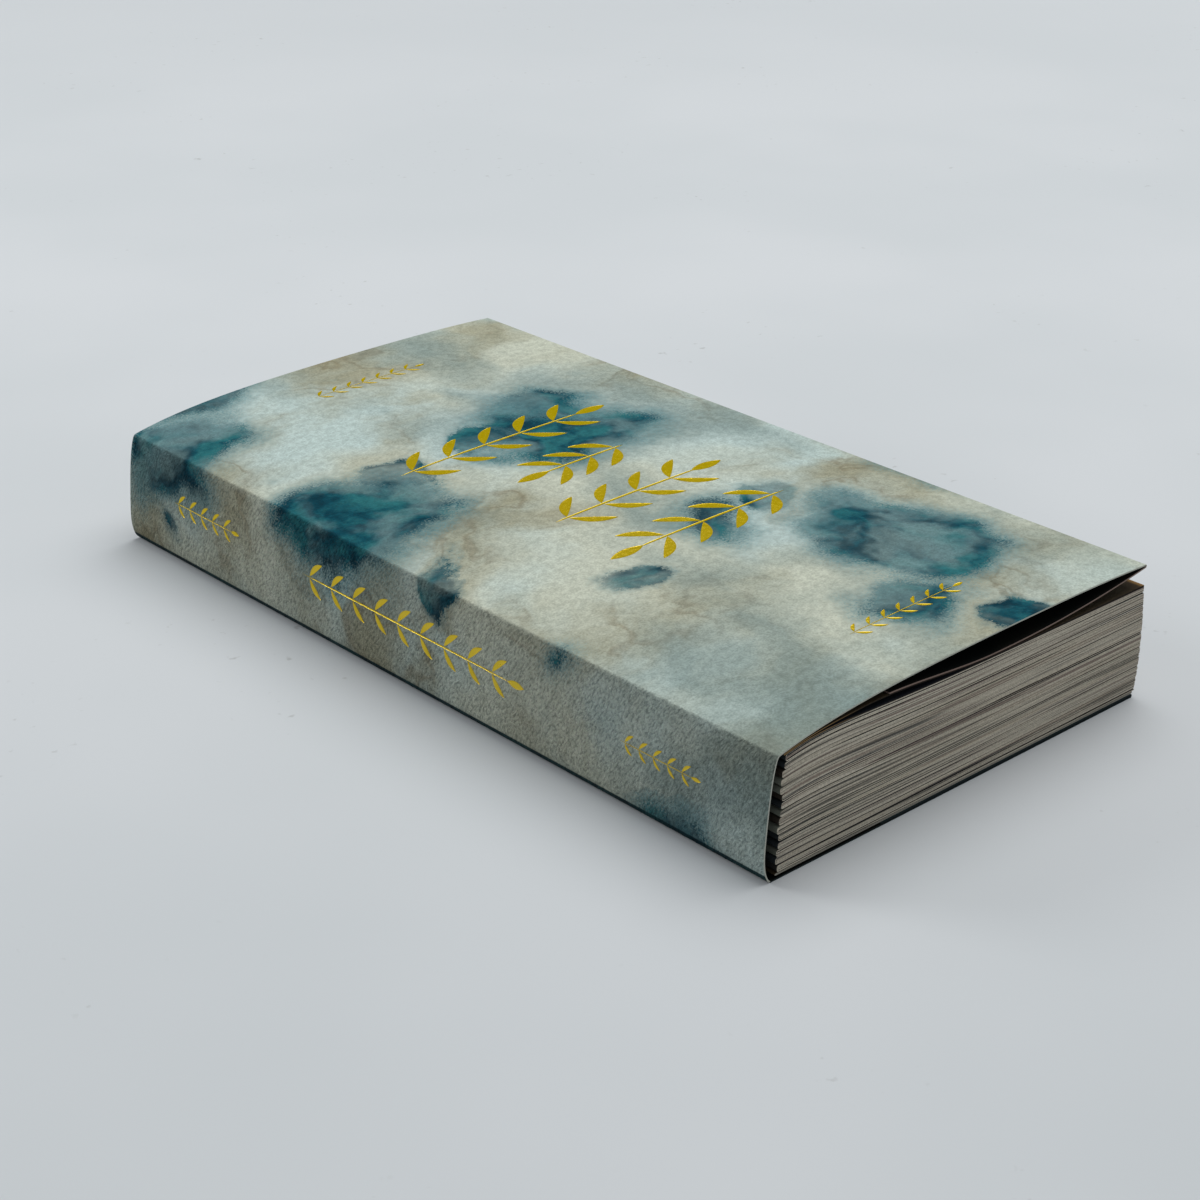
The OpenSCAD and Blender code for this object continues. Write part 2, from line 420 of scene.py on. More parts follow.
def card_piece(name, path, side, s_start, materials):
    """The card between its outer path and the same path moved in by its thickness.

    side is 1 where the card lies on the path's right, and -1 where it lies on its left.
    """
    ys = np.linspace(-PAGE_H / 2, PAGE_H / 2, num=85)
    inner = offset_path(path, side * CARD_T)
    points, faces, groups = slab(path, inner, ys)
    if side < 0:
        faces = faces[:, ::-1]
    s = s_start + lengths(path) * side
    sheet = np.zeros_like(points)
    sheet[:, 0] = np.tile(np.repeat(s, len(ys)), 2)
    sheet[:, 1] = points[:, 1]
    slots = np.array([0, 1, 2, 2])[groups]
    waved = points + card_wave(points)
    return make_object(name, waved, faces, slots, materials, {"sheet": sheet})


def card_wave(points):
    """A shallow unevenness of the front panel and the spine, in millimetres, always inwards."""
    x, y, z = points.T
    on_panel = z > cover_z(np.clip(x, CREASE_X, PAGE_W)) - CARD_T - 0.05
    across = np.clip((x - CREASE_X) / (PAGE_W - CREASE_X), 0, 1)
    wave = 0.5 + 0.25 * np.sin(y / 31.0 + x / 40.0) + 0.25 * np.sin(y / 17.0 - x / 23.0 + 2.0)
    dip = (PANEL_DIP + PANEL_WAVE * wave) * np.sin(math.pi * across) ** 2
    dip = np.where(on_panel & (x > CREASE_X), dip, 0)
    up = np.clip(z / CREASE_Z, 0, 1)
    ripple = 0.5 + 0.3 * np.sin(y / 19.0 + z / 9.0) + 0.2 * np.sin(y / 7.3 - z / 5.0 + 1.0)
    dent = SPINE_DENT * ripple * np.sin(math.pi * up) ** 2
    dent = np.where(x < SPINE_TO_X, dent, 0)
    return np.stack([dent, np.zeros_like(x), -dip], 1)


# Page block
def wander(rng, size):
    """A slow wave along x, as its size and the spans and turns of its two parts."""
    return size, rng.uniform(*WAVE_SPANS), rng.uniform(0, 2 * math.pi, 2)


def wander_at(rule, x):
    size, span, turn = rule
    return size * (np.sin(x / span[0] + turn[0]) + 0.3 * np.sin(x / span[1] + turn[1]))


def gap_rule(rng, wide_share):
    """A gap between two leaves: its least and greatest width and the wave that opens it."""
    span = WIDE_GAP if rng.uniform() < wide_share else NARROW_GAP
    opening = rng.uniform(*span)
    return rng.uniform(*LEAST_GAP), opening, wander(rng, 1.0)


def gap_at(rule, x):
    least, opening, wave = rule
    return least + opening * smooth((wander_at(wave, x) + 0.6) / 1.2)


def page_block(materials):
    """Sections of folded sheets. Each sheet is a thin slab that goes round its fold and back."""
    rng = np.random.default_rng(7)
    drifts = [wander(rng, DRIFT if 0 < i < SECTIONS else 0) for i in range(SECTIONS + 1)]
    breaks = [gap_rule(rng, WIDE_BREAKS) for _ in range(SECTIONS + 1)]
    slabs = []
    for i in range(SECTIONS):
        slabs += section_slabs(rng, i, drifts[i : i + 2], breaks[i : i + 2])
    points, faces = joined(slabs)
    slots = np.array([0, 0, 1, 1])[np.concatenate([part[2] for part in slabs])]
    leaf = np.concatenate([part[3] for part in slabs])
    return make_object("page_block", points, faces, slots, materials, {"leaf": leaf})


def section_slabs(rng, i, drifts, breaks):
    """The sheets of one section, from its outermost to its innermost."""
    middle = (i / SECTIONS + (i + 1) / SECTIONS) / 2
    start = fold_x(middle) + FOLD_D + rng.uniform(*FOLD_PLAY)
    edge = float(edge_x(middle))
    xs = places(start, edge, count=62)
    bottom, top = section_faces(i, xs, drifts)
    steps = rng.uniform(*SHEET_PLAY, SHEETS)
    shares = np.concatenate([[0], np.cumsum(steps) / steps.sum()]) / 2
    under, over = section_gaps(rng, i, breaks)
    slabs = []
    for k in range(SHEETS):
        reached = xs + rng.uniform(*EDGE_PLAY) * (xs - start) / edge
        share = shares[k + 1] - (CORE_PART if k == SHEETS - 1 else 0)
        outer = leaf_contour(reached, bottom, top, shares[k], under[k], over[k], 1)
        inner = leaf_contour(reached, bottom, top, share, under[k + 1], over[k + 1], -1)
        slabs.append(sheet_slab(rng, outer, inner, leaf_tint(rng, i, k)))
    return slabs


def section_faces(i, xs, drifts):
    """Heights of a section's lower and upper face, drawn in beside its fold."""
    nip = NIP * np.exp(-(xs - xs[0]) / NIP_RUN)
    bottom = level(i / SECTIONS, xs) + wander_at(drifts[0], xs) + (nip if i > 0 else 0)
    top = level((i + 1) / SECTIONS, xs) + wander_at(drifts[1], xs)
    return bottom, top - (nip if i < SECTIONS - 1 else 0)


def section_gaps(rng, i, breaks):
    """The gaps under and over the sheets of a section, from its outside to its middle."""
    under = [breaks[0]] + [gap_rule(rng, WIDE_GAPS) for _ in range(SHEETS)]
    over = [breaks[1]] + [gap_rule(rng, WIDE_GAPS) for _ in range(SHEETS)]
    if i == SECTIONS - 1:
        over[1] = TOP_GAP
    under[SHEETS] = over[SHEETS]
    return under, over


def leaf_tint(rng, section, sheet):
    """A sheet's random tint. The outermost sheet of a section has a dark or a pale back; the dark backs
    are partly print and partly painted shade of the hollow at the spine.
    """
    if sheet > 0:
        return rng.uniform()
    return rng.uniform(0, 0.5) if section in DARK_PRINT_AND_SHADE_BACKS else rng.uniform(0.5, 1)


def leaf_contour(xs, bottom, top, share, under, over, sign):
    """One face of a folded sheet: in along its lower arm, round the fold, out along its upper arm."""
    low = bottom + (top - bottom) * share + sign * gap_at(under, xs) / 2
    high = top - (top - bottom) * share - sign * gap_at(over, xs) / 2
    mid, half = (low[0] + high[0]) / 2, (high[0] - low[0]) / 2
    reach = max(FOLD_D * (0.8 - share), 0.8 * half)
    angles = np.radians(np.linspace(270, 90, ROUND_POINTS))[1:-1]
    # Squarer than a round
    across = -np.abs(np.cos(angles)) ** 0.7
    up = np.sign(np.sin(angles)) * np.abs(np.sin(angles)) ** 0.8
    fold = np.stack([xs[0] + reach * across, mid + half * up], 1)
    return np.concatenate([np.stack([xs, low], 1)[::-1], fold, np.stack([xs, high], 1)])


def sheet_slab(rng, outer, inner, tint):
    """A sheet's mesh, with its place in the block: run along the edges, pressed height, a tint."""
    ys = [-PAGE_H / 2, PAGE_H / 2]
    points, faces, groups = slab(outer, inner, ys, rng.uniform(*TRIM_PLAY, 2))
    pressed = (points[:, 2] - BLOCK_Z) / (BLOCK_T + swell_z(points[:, 0])) * BLOCK_T
    run = points[:, 0] + points[:, 1] + PAGE_H / 2
    leaf = np.stack([run, pressed, np.full(len(points), tint)], 1)
    return points, faces, groups, leaf


# Endpapers
def endpaper(name, under, over, fold_at, materials):
    """A sheet folded once, given the outer faces of its two leaves."""
    r = (over[0, 1] - under[0, 1]) / 2
    fold = arc(fold_at, under[0, 1] + r, r, 270, 90, count=11)[1:-1]
    outer = np.concatenate([under[::-1], fold, over])
    inner = offset_path(outer, ENDPAPER_T)
    half = PAGE_H / 2 - ENDPAPER_INSET
    points, faces, groups = slab(outer, inner, np.linspace(-half, half, num=9))
    return make_object(name, points, faces, groups, materials, {"sheet": points})


def front_endpaper(materials):
    xs = places(ENDPAPER_FOLD_X, PAGE_W - ENDPAPER_INSET, count=90)
    under = np.stack([xs, lower_leaf_z(xs) - ENDPAPER_T], 1)
    over = np.stack([xs, upper_leaf_z(xs)], 1)
    return endpaper("endpaper_front", under, over, ENDPAPER_FOLD_X, materials)


def back_endpaper(materials):
    fold_at = FOLD_D / 2
    xs = np.linspace(fold_at, PAGE_W - ENDPAPER_INSET, num=40)
    under = np.stack([xs, np.full_like(xs, BACK_LEAF_Z)], 1)
    over = under + [0, 2 * ENDPAPER_T + LEAF_GAP]
    return endpaper("endpaper_back", under, over, fold_at, materials)


# Foil ornaments, drawn in the flat coordinates of the card
def ribbon(start, end, width, taper, bow=0.0):
    """A straight or bowed stroke as rows of three points across, with ends drawn in by taper."""
    start, end = np.array(start, float), np.array(end, float)
    axis = end - start
    across = np.array([-axis[1], axis[0]]) / np.linalg.norm(axis)
    t = np.linspace(0, 1, STROKE_ROWS)[:, None]
    middle = start + axis * t + across * bow * 4 * t * (1 - t)
    half = width / 2 * np.maximum(np.sin(math.pi * t) ** taper, STROKE_TIP)
    return np.stack([middle + across * half, middle, middle - across * half], 1)


def sprig(length, height, pairs):
    """A stem with pairs of leaves and a bud, along +x and centred across it.

    Every measure but the length is a share of the height.
    """
    strokes = [ribbon((0, 0), (length - height * 0.5, 0), height * 0.045, 0.2)]
    strokes.append(ribbon((length - height * 0.62, 0), (length, 0), height * 0.2, 0.8))
    for i in range(pairs):
        root = (length - height * 0.6) * (i + 0.35) / pairs
        for side in (1, -1):
            tip = (root + height * 0.52, side * height * 0.5)
            start = (root, side * height * 0.03)
            strokes.append(ribbon(start, tip, height * 0.17, 0.75, side * height * 0.06))
    return strokes


def placed_strokes(strokes, origin, turn):
    """Strokes turned by quarter turns and moved to origin."""
    c, s = math.cos(turn * math.pi / 2), math.sin(turn * math.pi / 2)
    spin = np.array([[c, -s], [s, c]])
    return [stroke @ spin.T + origin for stroke in strokes]


def front_strokes():
    """Staggered rows, every second one turned round, and a small row near the head and the tail."""
    strokes = []
    for row, (start, end) in enumerate(FRONT_ROWS):
        pairs = max(3, round((end - start) / 12))
        leaves = sprig(end - start, 15.0, pairs)
        y = FRONT_ROW_Y - FRONT_ROW_STEP * row
        back = row % 2
        strokes += placed_strokes(leaves, (end if back else start, y), 2 * back)
    for y in (87, -86):
        strokes += placed_strokes(sprig(34, 5.0, 7), (40, y), 0)
    return strokes


def spine_strokes():
    """A long row in the middle of the spine and a short one near each end."""
    strokes = placed_strokes(sprig(74, 8.0, 9), (-12, 36), -1)
    strokes += placed_strokes(sprig(26, 5.2, 5), (-11, 86), -1)
    strokes += placed_strokes(sprig(22, 4.2, 5), (-12, -66), -1)
    return strokes


def foil_plate(stroke, s, path, normal):
    """Points and quads of one stroke as a thin plate on the card."""
    rows, columns = stroke.shape[:2]
    flat = stroke.reshape(-1, 2)
    here = np.stack([np.interp(flat[:, 0], s, path[:, k]) for k in (0, 1)], 1)
    out = np.stack([np.interp(flat[:, 0], s, normal[:, k]) for k in (0, 1)], 1)
    wave = card_wave(np.stack([here[:, 0], flat[:, 1], here[:, 1]], 1))
    points = []
    for lift in (FOIL_LIFT, -FOIL_LIFT):
        x, z = (here + out * lift).T
        points.append(np.stack([x, flat[:, 1], z], 1) + wave)
    grid = np.arange(rows * columns).reshape(rows, columns)
    rim = np.concatenate([grid[:, 0], grid[-1, 1:], grid[-2::-1, -1], grid[0, -2::-1]])
    upper = grid_faces(rows, columns)
    lower = grid_faces(rows, columns, grid.size, True)
    faces = [upper, lower, strip_faces(rim, rim + grid.size)]
    return np.concatenate(points), np.concatenate(faces)


def foil(name, strokes, path, crease_s, material):
    """The strokes as thin plates that lie on the card."""
    s = lengths(path) - crease_s
    normal = headings(path)[:, ::-1] * (-1, 1)
    points, faces = joined([foil_plate(stroke, s, path, normal) for stroke in strokes])
    # Place across the stroke, from side to side
    press = np.zeros_like(points)
    press[:, 0] = np.tile((-1, 0, 1), len(points) // 3)
    return make_object(name, points, faces, np.zeros(len(faces)), [material], {"press": press})


# Materials
class Shader:
    """A material's node tree, with short calls for the nodes used here."""

    def __init__(self, name):
        self.material = bpy.data.materials.new(name)
        self.material.use_nodes = True
        self.tree = self.material.node_tree
        self.bsdf = self.tree.nodes["Principled BSDF"]

    def feed(self, socket, value):
        if isinstance(value, bpy.types.NodeSocket):
            self.tree.links.new(value, socket)
        else:
            socket.default_value = value

    def add(self, kind, inputs, **settings):
        node = self.tree.nodes.new(kind)
        for key, value in settings.items():
            setattr(node, key, value)
        for key, value in inputs.items():
            self.feed(node.inputs[key], value)
        return node

    def attribute(self, name):
        return self.add("ShaderNodeAttribute", {}, attribute_name=name).outputs["Vector"]

    def position(self):
        return self.add("ShaderNodeTexCoord", {}).outputs["Object"]

    def scaled(self, vector, scale, shift=(0, 0, 0)):
        inputs = {"Vector": vector, "Scale": scale, "Location": shift}
        return self.add("ShaderNodeMapping", inputs).outputs["Vector"]

    def shifted(self, vector, shift):
        return self.vector("ADD", vector, shift)

    def moved(self, vector, other, amount):
        """vector with other, taken round its middle, added amount times."""
        centred = self.vector("SUBTRACT", other, (0.5, 0.5, 0.5))
        grown = self.vector("SCALE", centred, None, amount)
        return self.vector("ADD", vector, grown)

    def vector(self, operation, a, b=None, scale=None):
        node = self.add("ShaderNodeVectorMath", {0: a}, operation=operation)
        if b is not None:
            self.feed(node.inputs[1], b)
        if scale is not None:
            self.feed(node.inputs["Scale"], scale)
        return node.outputs["Vector"]

    def noise(self, vector, scale, detail, rough, color=False):
        inputs = {"Vector": vector, "Scale": scale, "Detail": detail, "Roughness": rough}
        node = self.add("ShaderNodeTexNoise", inputs)
        return node.outputs["Color" if color else "Fac"]

    def cells(self, vector, scale):
        """Distance to the middle of the nearest cell, in cells, and the cell's random value."""
        inputs = {"Vector": vector, "Scale": scale, "Randomness": 0.45}
        node = self.add("ShaderNodeTexVoronoi", inputs, voronoi_dimensions="2D")
        parts = self.add("ShaderNodeSeparateColor", {0: node.outputs["Color"]}).outputs
        return node.outputs["Distance"], parts[0]

    def parts(self, vector):
        return self.add("ShaderNodeSeparateXYZ", {0: vector}).outputs

    def math(self, operation, a, b=0.0):
        return self.add("ShaderNodeMath", {0: a, 1: b}, operation=operation).outputs["Value"]

    def band(self, value, start, end, low=0.0, high=1.0):
        """value taken smoothly from start..end to low..high."""
        inputs = {"Value": value, "From Min": start, "From Max": end, "To Min": low, "To Max": high}
        node = self.add("ShaderNodeMapRange", inputs, interpolation_type="SMOOTHSTEP")
        return node.outputs["Result"]

    def mix(self, factor, a, b, blend="MIX"):
        # Inputs 6 and 7 and output 2 are the node's colours
        inputs = {0: factor, 6: a, 7: b}
        node = self.add("ShaderNodeMix", inputs, data_type="RGBA", blend_type=blend)
        return node.outputs[2]

    def darkened(self, color, amount, pattern, dark):
        """color multiplied by dark where pattern is low, in part or in full as amount says."""
        return self.mix(amount, color, self.mix(pattern, dark, WHITE), "MULTIPLY")

    def bump(self, height, distance, strength, normal=None):
        node = self.add("ShaderNodeBump", {"Height": height, "Distance": distance, "Strength": strength})
        if normal is not None:
            self.feed(node.inputs["Normal"], normal)
        return node.outputs["Normal"]

    def finish(self, color, rough, shine, normal=None, metal=0.0):
        self.feed(self.bsdf.inputs["Base Color"], color)
        self.feed(self.bsdf.inputs["Roughness"], rough)
        self.bsdf.inputs["Specular IOR Level"].default_value = shine
        self.bsdf.inputs["Metallic"].default_value = metal
        if normal is not None:
            self.feed(self.bsdf.inputs["Normal"], normal)
        return self.material


def rgb(r, g, b):
    """A colour from its display values, 0 to 255."""
    parts = [v / 255 for v in (r, g, b)]
    return (*[v / 12.92 if v <= 0.04045 else ((v + 0.055) / 1.055) ** 2.4 for v in parts], 1.0)


WHITE = rgb(255, 255, 255)


def card_print():
    """Felt-marked card printed with soft washes, in the flat coordinates of the sheet."""
    s = Shader("card_print")
    sheet = s.attribute("sheet")
    drift = s.noise(sheet, 1 / 40, 2, 0.5, True)
    curl = s.noise(sheet, 1 / 13, 3, 0.55, True)
    fray = s.noise(sheet, 1 / 1.6, 3, 0.7, True)
    felt = s.noise(sheet, 1 / 0.5, 3, 0.65)
    flow = s.moved(s.moved(sheet, drift, 36.0), curl, 11.0)
    frayed = s.moved(flow, fray, 3.0)
    ink = ink_color(s, flow)
    color = blotted(s, clouded_ground(s, flow), ink, flow, frayed, felt)
    # Dark wash under the booklet, from the foot of the spine on: the back's print, and along the spine's
    # foot also painted shade where the card turns under to the floor
    under = s.band(s.parts(sheet)[0], BACK_PRINT_AND_SHADE_S + 0.3, BACK_PRINT_AND_SHADE_S - 0.2, 0, 0.97)
    color = s.mix(under, color, s.mix(0.3, rgb(6, 15, 19), ink))
    return tooth_and_finish(s, sheet, felt, color)


def ink_color(s, flow):
    """Deep teal with paler and darker pools."""
    wash = s.noise(flow, 1 / 10, 4, 0.6)
    color = s.mix(s.band(wash, 0.42, 0.66), rgb(4, 74, 90), rgb(44, 114, 120))
    return s.mix(s.band(wash, 0.5, 0.36, 0, 0.85), color, rgb(0, 50, 64))


def clouded_ground(s, flow):
    """Pale ground, from cool to warm, with veined taupe clouds and a grey-green shade."""
    warm = s.band(s.noise(s.shifted(flow, (40, 7, 3)), 1 / 60, 2, 0.5), 0.42, 0.6)
    color = s.mix(warm, rgb(196, 214, 211), rgb(206, 211, 195))
    cloud = s.noise(s.scaled(flow, (0.8, 1.15, 1), CLOUD_SHIFT), 1 / 46, 5, 0.52)
    color = s.mix(s.band(cloud, 0.42, 0.68, 0, 0.85), color, rgb(157, 152, 124))
    vein = s.noise(s.shifted(flow, (70, 30, 9)), 1 / 24, 3, 0.5)
    vein = s.band(s.math("ABSOLUTE", s.math("SUBTRACT", vein, 0.5)), 0.035, 0.0)
    vein = s.math("MULTIPLY", vein, s.band(cloud, 0.46, 0.6, 0, 0.4))
    color = s.mix(vein, color, rgb(122, 108, 80))
    shade = s.noise(s.scaled(flow, (1, 0.8, 1), (0, 130, 20)), 1 / 50, 4, 0.5)
    return s.mix(s.band(shade, 0.47, 0.68, 0, 0.75), color, rgb(128, 148, 146))


def blotted(s, color, ink, flow, frayed, felt):
    """Few large blots and their small satellites, with rims that the felt breaks up."""
    broken = s.math("MULTIPLY", s.math("SUBTRACT", felt, 0.5), 0.22)
    wet = s.band(s.noise(s.shifted(flow, (3, 60, 8)), 1 / 17, 3, 0.5), 0.36, 0.56, 0.35, 1.0)
    for pitch, shift, left_out, halo in BLOTS:
        away, size = s.cells(s.shifted(frayed, shift), 1 / pitch)
        reach = s.math("SUBTRACT", s.band(size, left_out, 0.95, -0.2, 0.3), away)
        reach = s.math("ADD", reach, broken)
        color = s.mix(s.band(reach, -0.11, 0.03, 0, halo), color, rgb(98, 140, 146))
        color = s.mix(s.math("MULTIPLY", s.band(reach, -0.02, 0.055), wet), color, ink)
    return color


def tooth_and_finish(s, sheet, felt, color):
    """The felt's mottle, and its tooth, which is coarser on the spine, where the tooth's pits are also
    darkened as painted shade beside the bump.
    """
    mottle = s.noise(sheet, 1 / 1.7, 3, 0.6)
    grain = s.math("ADD", s.math("MULTIPLY", felt, 0.55), s.math("MULTIPLY", mottle, 0.45))
    color = s.darkened(color, 0.6, s.band(grain, 0.34, 0.66), rgb(172, 174, 172))
    on_spine = s.band(s.parts(sheet)[0], 0.6, -0.6)
    inputs = {"Vector": sheet, "Rotation": (0, 0, -0.5), "Scale": (1.1, 0.6, 1)}
    leaning = s.add("ShaderNodeMapping", inputs, vector_type="TEXTURE").outputs["Vector"]
    tooth = s.noise(leaning, 1.0, 3, 0.6)
    # Painted shade: on the spine the colour darkens where the tooth is low, in its pits
    pit_shade = s.math("MULTIPLY", on_spine, 0.8)
    color = s.darkened(color, pit_shade, s.band(tooth, 0.34, 0.56), rgb(196, 200, 202))
    normal = s.bump(tooth, 0.0004, 0.5)
    normal = s.bump(s.math("MULTIPLY", tooth, on_spine), 0.0014, 1.0, normal)
    return s.finish(color, s.band(felt, 0.3, 0.7, 0.66, 0.82), CARD_SHINE, normal)


def card_inside():
    s = Shader("card_inside")
    sheet = s.attribute("sheet")
    cloud = s.noise(sheet, 1 / 18, 4, 0.55)
    grain = s.noise(sheet, 1 / 0.5, 3, 0.6)
    color = s.mix(s.band(cloud, 0.35, 0.65), rgb(14, 18, 17), rgb(28, 28, 24))
    color = s.darkened(color, 0.4, grain, rgb(140, 140, 140))
    return s.finish(color, s.band(grain, 0.3, 0.7, 0.65, 0.8), CARD_SHINE, s.bump(grain, 0.0001, 0.5))


def card_edge():
    """Cut edge of the card: pale at the spine and front; at the flap a pinkish tint darkened as painted
    shade; at the back dark as painted shade.
    """
    s = Shader("card_edge")
    sheet = s.attribute("sheet")
    along = s.parts(sheet)[0]
    fibre = s.noise(sheet, 1 / 0.3, 3, 0.6)
    color = s.mix(fibre, rgb(158, 162, 152), rgb(198, 198, 188))
    # The flap's edge: pinkish core tint, darkened as painted shade of the wedge under the front cover
    color = s.mix(s.band(along, FLAP_EDGE_SHADE_S, FLAP_EDGE_SHADE_S + 4), color, rgb(128, 110, 102))
    # The back's edge: painted shade near the floor
    color = s.mix(s.band(along, BACK_EDGE_SHADE_S, BACK_EDGE_SHADE_S - 0.6), color, rgb(30, 40, 42))
    return s.finish(color, 0.85, PAPER_SHINE)


def paper_face():
    """Printed faces of the leaves, of a few tints, which show only as thin lines between them; their
    darkness is partly painted shade of those gaps and of the hollow at the spine.
    """
    s = Shader("paper_face")
    leaf = s.attribute("leaf")
    fibre = s.noise(leaf, 1 / 0.4, 3, 0.6)
    tint = s.parts(leaf)[2]
    # Dark tints: partly print, partly painted shade of the gaps between leaves and of the hollow at the
    # spine
    color = s.mix(fibre, rgb(34, 38, 42), rgb(52, 58, 60))
    color = s.mix(s.band(tint, 0.4, 0.45), color, rgb(56, 50, 44))
    color = s.mix(s.band(tint, 0.6, 0.65), color, rgb(112, 116, 106))
    return s.finish(color, 0.85, PAPER_SHINE)


def gap_shade_lines(s, leaf, spacing, width, shift):
    """Lines of an even width in millimetres that run with the leaves, broken at places: painted shade of
    gaps between leaves finer than the mesh's.
    """
    inputs = {"Vector": s.scaled(leaf, (0.004, 1 / spacing, 0), shift), "Scale": 1.0}
    settings = {"voronoi_dimensions": "2D", "feature": "DISTANCE_TO_EDGE"}
    away = s.add("ShaderNodeTexVoronoi", inputs, **settings).outputs["Distance"]
    line = s.band(away, width / spacing * 0.7, width / spacing * 0.3)
    there = s.noise(s.scaled(leaf, (0.02, 0.8, 0), shift), 1.0, 1, 0.5)
    return s.math("MULTIPLY", line, s.band(there, 0.42, 0.54, 0.0, 0.9))


def paper_edge():
    """Cut edges of the leaves: fine lines that follow the leaves, some tinted by print, and thin dark
    lines of painted shade between them.
    """
    s = Shader("paper_edge")
    leaf = s.attribute("leaf")
    fine = s.noise(s.scaled(leaf, (0.012, 5.0, 0)), 1.0, 2, 0.6)
    color = s.mix(s.band(fine, 0.36, 0.64), rgb(182, 175, 160), rgb(214, 206, 190))
    broad = s.noise(s.scaled(leaf, (0.006, 1.1, 0), (3, 5, 0)), 1.0, 3, 0.6)
    color = s.mix(s.band(broad, 0.42, 0.66, 0, 0.5), color, rgb(196, 186, 166))
    # Painted shade: thin dark lines where leaves part more finely than the mesh shows
    color = s.mix(gap_shade_lines(s, leaf, 0.55, 0.1, (5, 17, 0)), color, rgb(126, 110, 104))
    color = s.mix(gap_shade_lines(s, leaf, 0.95, 0.12, (11, 2, 0)), color, rgb(52, 56, 60))
    tint = s.parts(leaf)[2]
    color = s.mix(s.band(tint, 0.0, 1.0, 0.0, 0.25), color, rgb(184, 172, 152))
    fibre = s.noise(s.scaled(s.position(), (2600, 2600, 2600)), 1.0, 2, 0.6)
    color = s.darkened(color, 0.45, s.band(fibre, 0.35, 0.65), rgb(180, 180, 180))
    return s.finish(color, 0.85, PAPER_SHINE, s.bump(fine, 0.0001, 0.4))


def endpaper_face_light_and_shade():
    """Brown paper, darkened as painted shade under the flap, with a painted light that makes it paler
    and warmer along the fore-edge.
    """
    s = Shader("endpaper_face_light_and_shade")
    sheet = s.attribute("sheet")
    fibre = s.noise(s.scaled(sheet, (1, 0.6, 1)), 1 / 0.5, 4, 0.6)
    cloud = s.noise(sheet, 1 / 30, 2, 0.5)
    # Dark brown: the paper's brown, darkened as painted shade
    color = s.mix(fibre, rgb(52, 43, 31), rgb(70, 58, 42))
    color = s.mix(s.band(cloud, 0.4, 0.65, 0, 0.5), color, rgb(74, 64, 50))
    mottle = s.noise(sheet, 1 / 2.5, 4, 0.7)
    color = s.darkened(color, 0.4, s.band(mottle, 0.35, 0.65), rgb(190, 190, 190))
    # Painted light along the fore-edge, where light comes in under the flap
    color = s.mix(s.band(s.parts(sheet)[0], PAGE_W - 1.6, PAGE_W - 0.3), color, rgb(132, 102, 62))
    return s.finish(color, 0.8, PAPER_SHINE, s.bump(fibre, 0.00004, 0.4))


def endpaper_inside_shade():
    # Dark navy faces between the endpaper's two leaves: painted shade of the gap between them
    s = Shader("endpaper_inside_shade")
    fibre = s.noise(s.attribute("sheet"), 1 / 0.5, 3, 0.6)
    return s.finish(s.mix(fibre, rgb(26, 30, 38), rgb(38, 42, 48)), 0.85, 0.06)


def endpaper_edge(name, near, far):
    """Cut edge of an endpaper, of one colour near the spine and another past the swell."""
    s = Shader(name)
    sheet = s.attribute("sheet")
    fibre = s.noise(s.scaled(sheet, (0.2, 0.2, 4)), 1 / 0.5, 3, 0.6)
    color = s.mix(s.band(s.parts(sheet)[0], 9, 24), near, far)
    color = s.darkened(color, 0.5, fibre, rgb(170, 170, 170))
    return s.finish(color, 0.8, PAPER_SHINE)


def thread_finish():
    s = Shader("linen_thread")
    inputs = {"Vector": s.scaled(s.position(), (900, 900, 1400)), "Scale": 1.0}
    twist = s.add("ShaderNodeTexWave", inputs).outputs["Fac"]
    color = s.mix(twist, rgb(190, 184, 168), rgb(226, 220, 204))
    return s.finish(color, 0.8, 0.2, s.bump(twist, 0.00005, 0.5))


def foil_finish():
    """Hot-stamped metal foil with a slight unevenness pressed in by the card."""
    s = Shader("gold_foil")
    place = s.position()
    grain = s.noise(place, 1100.0, 3, 0.6)
    tone = s.noise(place, 260.0, 2, 0.5)
    color = s.mix(tone, rgb(198, 171, 50), rgb(214, 187, 72))
    side = s.math("ABSOLUTE", s.parts(s.attribute("press"))[0])
    normal = s.bump(s.band(side, 0.6, 1.0), 0.00004, 1.0)
    normal = s.bump(grain, 0.00012, 0.7, normal)
    s.bsdf.inputs["Specular Tint"].default_value = (0.95, 0.85, 0.25, 1)
    return s.finish(color, s.band(grain, 0.3, 0.7, 0.16, 0.28), 0.5, normal, metal=1.0)


# Stage
def floor_finish():
    """A pale sheet, a little uneven near the booklet, with a few faint specks."""
    s = Shader("floor")
    place = s.position()
    away = s.add("ShaderNodeVectorMath", {0: place}, operation="LENGTH").outputs["Value"]
    patch = s.band(s.noise(place, 5.0, 3, 0.5), 0.35, 0.65, -0.5, 0.5)
    patch = s.math("MULTIPLY", patch, s.band(away, 0.3, 0.9, 1, 0))
    color = s.mix(s.math("ADD", patch, 0.5), rgb(200, 205, 209), rgb(206, 210, 214))
    speck = s.band(s.noise(place, 260.0, 2, 0.6), 0.66, 0.76, 0, 0.35)
    rare = s.band(s.noise(place, 14.0, 2, 0.5), 0.52, 0.62)
    color = s.mix(s.math("MULTIPLY", speck, rare), color, rgb(140, 140, 138))
    # The far floor stays pale beyond the lamps' reach
    glow = s.math("MULTIPLY", s.band(away, 0.5, 1.8, 0, 0.5), seen_ray(s.tree))
    s.feed(s.bsdf.inputs["Emission Color"], color)
    s.feed(s.bsdf.inputs["Emission Strength"], glow)
    return s.finish(color, 0.75, 0.15)


